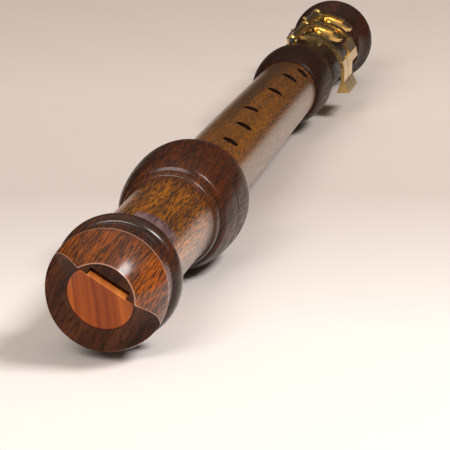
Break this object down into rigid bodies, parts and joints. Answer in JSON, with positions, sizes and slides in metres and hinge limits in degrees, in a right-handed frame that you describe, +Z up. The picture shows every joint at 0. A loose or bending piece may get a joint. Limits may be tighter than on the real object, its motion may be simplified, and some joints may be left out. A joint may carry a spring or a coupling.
{
  "type": "tenor recorder",
  "caption": "Wooden duct flute in jointed pieces with a beak, finger holes, and brass keys on its foot.",
  "frame": {"origin": "middle of the bounding box, on the surface the instrument lies on", "axes": "+Y runs along the instrument from the beak to the foot, +Z is up, +X is to the right seen from the beak; the finger holes are turned 32 degrees from +Z towards +X"},
  "size_m": [0.05, 0.6402, 0.0506],
  "materials": {
    "rosewood": "polished dark red-brown hardwood with long dark pores, matt in the cut of the beak",
    "cedar": "bare orange-red cedar with fine straight grain",
    "cork": "bare greased cork",
    "brass": "polished brass",
    "blued_steel": "blued steel",
    "pad_leather": "tan leather"
  },
  "bodies": {
    "head": {"head_joint": "rosewood", "windway_block": "cedar"},
    "middle": {"middle_joint": "rosewood", "upper_tenon_cork": "cork", "lower_tenon_cork": "cork"},
    "foot": {"foot_joint": "rosewood", "upper_post": "brass", "middle_post": "brass", "lower_post": "brass", "key_rod": "blued_steel", "c_sharp_key_spring": "blued_steel", "c_key_spring": "blued_steel"},
    "c_sharp_key": {"c_sharp_key_tube": "brass", "c_sharp_key_cup": "brass", "c_sharp_key_pad": "pad_leather", "c_sharp_key_touch": "brass"},
    "c_key": {"c_key_tube": "brass", "c_key_cup": "brass", "c_key_pad": "pad_leather", "c_key_touch": "brass"}
  },
  "joints": [
    {"name": "tuning_pull", "type": "slide", "parent": "middle", "child": "head", "axis": [0, -1, 0.0091], "range_m": [0, 0.037]},
    {"name": "foot_twist", "type": "hinge", "parent": "middle", "child": "foot", "pos_m": [0, 0.15991, 0.02233], "axis": [0, 1, -0.0091], "continuous": true},
    {"name": "c_sharp_key_hinge", "type": "hinge", "parent": "foot", "child": "c_sharp_key", "pos_m": [-0.0035, 0.21308, 0.04078], "axis": [0, 1, -0.0091], "range_deg": [0, 11], "stiffness_Nm_per_rad": 0.1, "springref_deg": -11.46},
    {"name": "c_key_hinge", "type": "hinge", "parent": "foot", "child": "c_key", "pos_m": [-0.0035, 0.25858, 0.04036], "axis": [0, 1, -0.0091], "range_deg": [0, 11], "stiffness_Nm_per_rad": 0.1, "springref_deg": -11.46}
  ]
}
